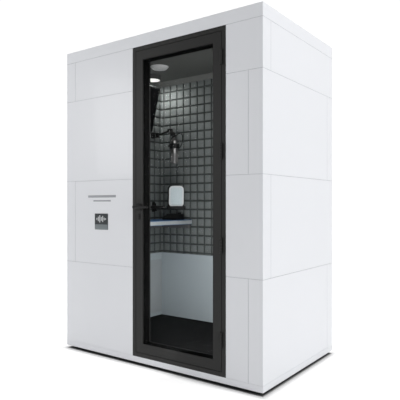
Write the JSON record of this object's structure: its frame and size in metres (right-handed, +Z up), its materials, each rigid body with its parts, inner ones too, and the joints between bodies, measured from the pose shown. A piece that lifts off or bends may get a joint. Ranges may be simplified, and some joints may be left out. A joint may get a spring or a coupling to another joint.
{
  "type": "sound isolation voice booth",
  "caption": "Walk-in sound-isolating booth of interlocking white wall blocks with a glazed door, foam-lined cabin, desk, wall screen, tablet arm and boom microphone.",
  "frame": {"origin": "centre of the footprint (levers included), on the floor that the feet stand on", "axes": "+X to the right seen from the door, +Y from the door into the booth, +Z up"},
  "size_m": [1.59, 1.035, 2.1],
  "materials": {
    "foot_rubber": "matte black moulded rubber",
    "white_lacquer": "satin white lacquer on dense board",
    "panel_board": "dark stained dense board",
    "carpet": "short black needle felt",
    "acoustic_foam": "open-cell grey foam in square waffle relief",
    "lining_grey": "smooth matte grey lining board",
    "ceiling_grey": "matte dark grey board",
    "cove_grey": "matte grey moulding",
    "ceiling_metal": "matte dark grey paint",
    "lamp_glow": "opal diffuser, lit",
    "valve_white": "white enamel",
    "black_plastic": "fine-textured black plastic",
    "black_metal": "satin black powder coat",
    "anthracite_frame": "fine-textured anthracite powder coat on aluminium",
    "door_glass": "clear laminated glass",
    "seal_rubber": "matte black rubber",
    "satin_steel": "satin stainless steel",
    "desk_laminate": "matte dark grey laminate on board",
    "screen_black": "black screen, switched off",
    "mic_nickel": "satin nickel",
    "mic_mesh": "nickel wire mesh",
    "cable_rubber": "matte black cable sheath",
    "tablet_shell": "white tablet rim",
    "tablet_white": "pale bluish lit page",
    "switch_white": "white plastic",
    "badge_dark": null
  },
  "bodies": {
    "root": {"feet": "foot_rubber", "base_frame": "white_lacquer", "floor_panel": "panel_board", "carpet": "carpet", "foam_panels": "acoustic_foam", "wall_linings": "lining_grey", "front_wall_blocks": "white_lacquer", "right_wall_blocks": "white_lacquer", "back_wall_blocks": "white_lacquer", "left_wall_blocks": "white_lacquer", "wall_sleeves": "black_plastic", "roof_panel": "white_lacquer", "ceiling_panel": "ceiling_grey", "ceiling_cove": "cove_grey", "air_grilles": "black_plastic", "lamp_housing": "ceiling_metal", "lamp_diffuser": "lamp_glow", "vent_valve_ring": "valve_white", "fan_housing": "black_plastic", "silencer_baffles": "acoustic_foam", "door_frame": "anthracite_frame", "strike_plate": "satin_steel", "door_seal": "seal_rubber", "hinge_frame_leaves": "anthracite_frame", "hinge_pins": "black_metal", "desk_top": "desk_laminate", "desk_cleats": "panel_board", "screen_bracket": "black_metal", "boom_base": "black_metal", "tablet_wall_bracket": "black_metal", "audio_console": "black_plastic", "switch_plate": "switch_white", "badge_plate": "badge_dark"},
    "door": {"door_leaf": "anthracite_frame", "door_panes": "door_glass", "glazing_liner": "seal_rubber", "hinge_door_leaves": "anthracite_frame", "handle_roses": "black_metal", "lock_case": "satin_steel"},
    "lever": {"levers": "black_metal", "lever_spindle": "satin_steel"},
    "latch": {"latch_bolt": "satin_steel"},
    "valve": {"vent_valve_disc": "valve_white"},
    "fan": {"fan_rotor": "black_plastic"},
    "screen": {"screen_housing": "black_plastic", "screen_glass": "screen_black"},
    "boom": {"boom_arm": "black_metal"},
    "link": {"boom_link": "black_metal"},
    "mic_head": {"mic_yoke": "black_metal", "shock_mount": "black_plastic", "mic_body": "mic_nickel", "mic_grille": "mic_mesh", "mic_plug": "black_metal", "mic_cable": "cable_rubber"},
    "tablet_arm": {"tablet_arm": "black_metal"},
    "tablet": {"tablet_cradle": "black_plastic", "tablet_case": "tablet_shell", "tablet_screen": "tablet_white"},
    "dial": {"console_dial": "black_plastic"},
    "rocker": {"switch_rocker": "switch_white"}
  },
  "joints": [
    {"name": "door_hinge", "type": "hinge", "parent": "root", "child": "door", "pos_m": [0.5325, -0.4695, 1], "axis": [0, 0, 1], "range_deg": [0, 110]},
    {"name": "lever_turn", "type": "hinge", "parent": "door", "child": "lever", "pos_m": [-0.095, -0.4625, 1.006], "axis": [0, -1, 0], "range_deg": [0, 40], "stiffness_Nm_per_rad": 0.8, "springref_deg": -22.92},
    {"name": "latch_slide", "type": "slide", "parent": "door", "child": "latch", "axis": [-1, 0, 0], "range_m": [0, 0.0098]},
    {"name": "valve_screw", "type": "slide", "parent": "root", "child": "valve", "axis": [0, 0, -1], "range_m": [0, 0.009]},
    {"name": "fan_spin", "type": "hinge", "parent": "root", "child": "fan", "pos_m": [-0.6775, -0.2025, 0.3], "axis": [1, 0, 0], "continuous": true},
    {"name": "screen_tilt", "type": "hinge", "parent": "root", "child": "screen", "pos_m": [-0.628, 0.0075, 1.795], "axis": [0, 1, 0], "range_deg": [-14, 0]},
    {"name": "boom_swivel", "type": "hinge", "parent": "root", "child": "boom", "pos_m": [-0.607, 0.3075, 1.588], "axis": [0, 0, 1], "range_deg": [-45, 30]},
    {"name": "elbow", "type": "hinge", "parent": "boom", "child": "link", "pos_m": [-0.3428, 0.1531, 1.588], "axis": [0.5045, 0.8634, 0], "range_deg": [-30, 30]},
    {"name": "mic_tilt", "type": "hinge", "parent": "link", "child": "mic_head", "pos_m": [-0.2927, 0.1239, 1.548], "axis": [0.5045, 0.8634, 0], "range_deg": [-30, 30]},
    {"name": "tablet_arm_swing", "type": "hinge", "parent": "root", "child": "tablet_arm", "pos_m": [-0.632, 0.3115, 0.989], "axis": [0, 0, 1], "range_deg": [-60, 12]},
    {"name": "tablet_swivel", "type": "hinge", "parent": "tablet_arm", "child": "tablet", "pos_m": [-0.3538, 0.237, 0.994], "axis": [0, 0, 1], "range_deg": [-40, 40]},
    {"name": "dial_turn", "type": "hinge", "parent": "root", "child": "dial", "pos_m": [-0.42, 0.3595, 0.946], "axis": [0, 0, 1], "range_deg": [-135, 135]},
    {"name": "rocker_press", "type": "hinge", "parent": "root", "child": "rocker", "pos_m": [0.64, -0.3675, 1.1], "axis": [1, 0, 0], "range_deg": [-5, 5]}
  ],
  "couplings": [
    {"joint": "latch_slide", "follows": "lever_turn", "m_per_rad": 0.014}
  ]
}
